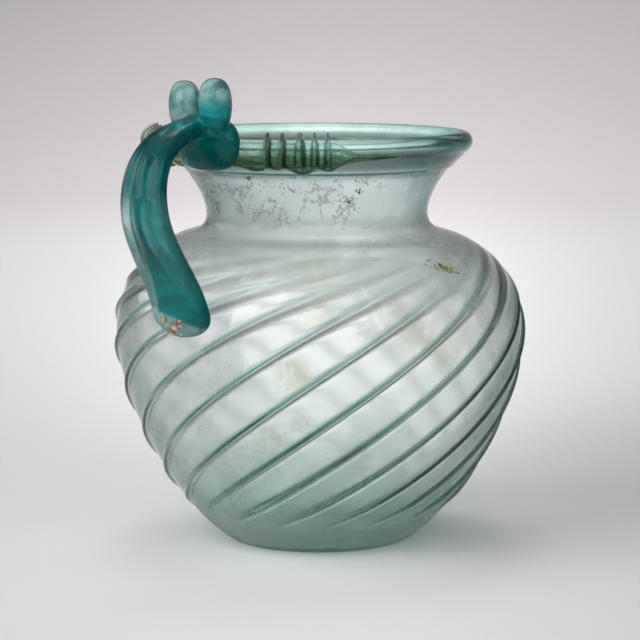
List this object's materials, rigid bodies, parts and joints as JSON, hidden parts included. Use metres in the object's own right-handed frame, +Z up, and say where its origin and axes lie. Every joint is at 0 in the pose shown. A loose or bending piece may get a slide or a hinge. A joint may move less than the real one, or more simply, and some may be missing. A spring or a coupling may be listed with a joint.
{
  "type": "blown glass jug",
  "caption": "Small blown-glass jug: squat round body with twisted ribs, flaring neck with folded rim, strap handle with lobed thumb rest, pinched trails at the rim.",
  "frame": {"origin": "centre of the flat underside, where the jug rests", "axes": "+Z up the jug's axis; the handle stands out along -X; the trail to the right of the handle, seen from outside, is towards -Y"},
  "size_m": [0.1299, 0.1158, 0.1308],
  "materials": {
    "body_glass": "thin pale blue-green blown glass, partly clouded",
    "handle_glass": "thick deep teal glass, glossy",
    "trail_glass": "dark green glass, glossy, partly weathered"
  },
  "bodies": {
    "root": {"jug_body": "body_glass", "strap_handle": "handle_glass", "pinched_trail_right": "trail_glass", "pinched_trail_left": "trail_glass"}
  },
  "joints": []
}
